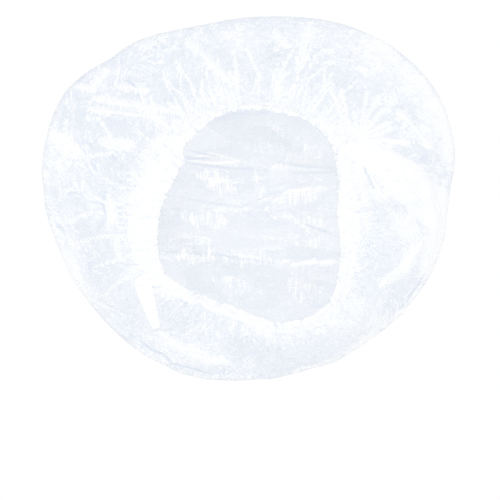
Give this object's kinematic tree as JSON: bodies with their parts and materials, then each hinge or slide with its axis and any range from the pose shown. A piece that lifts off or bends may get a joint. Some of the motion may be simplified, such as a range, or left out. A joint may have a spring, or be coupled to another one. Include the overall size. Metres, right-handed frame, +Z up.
{
  "type": "shower cap",
  "caption": "Thin clear plastic film shower cap lying open, with a gathered elastic hem round its mouth, fused end welds and a crown that folds in half along the line through the welds.",
  "frame": {"origin": "on the table under the middle of the lying cap's outline", "axes": "+X to the right across the cap, its widest way, +Y to its rear, +Z up out of the mouth"},
  "size_m": [0.315, 0.278, 0.044],
  "materials": {
    "film": "clear glossy film with a faint blue cast",
    "hem": "gathered layers of the same film, near white",
    "elastic": "matt white",
    "weld": "fused film, whitened"
  },
  "bodies": {
    "rear_half": {"rear_crown_film": "film", "rear_skirt_film": "film", "rear_hem_casing": "hem", "rear_elastic_thread": "elastic"},
    "front_half": {"front_crown_film": "film", "front_skirt_film": "film", "front_hem_casing": "hem", "front_elastic_thread": "elastic", "right_end_weld": "weld", "left_end_weld": "weld"}
  },
  "joints": [
    {"name": "fold_in_half", "type": "hinge", "parent": "rear_half", "child": "front_half", "pos_m": [-0.00206, -0.01148, 0.04], "axis": [-0.8412, -0.5407, 0], "range_deg": [0, 150]}
  ]
}
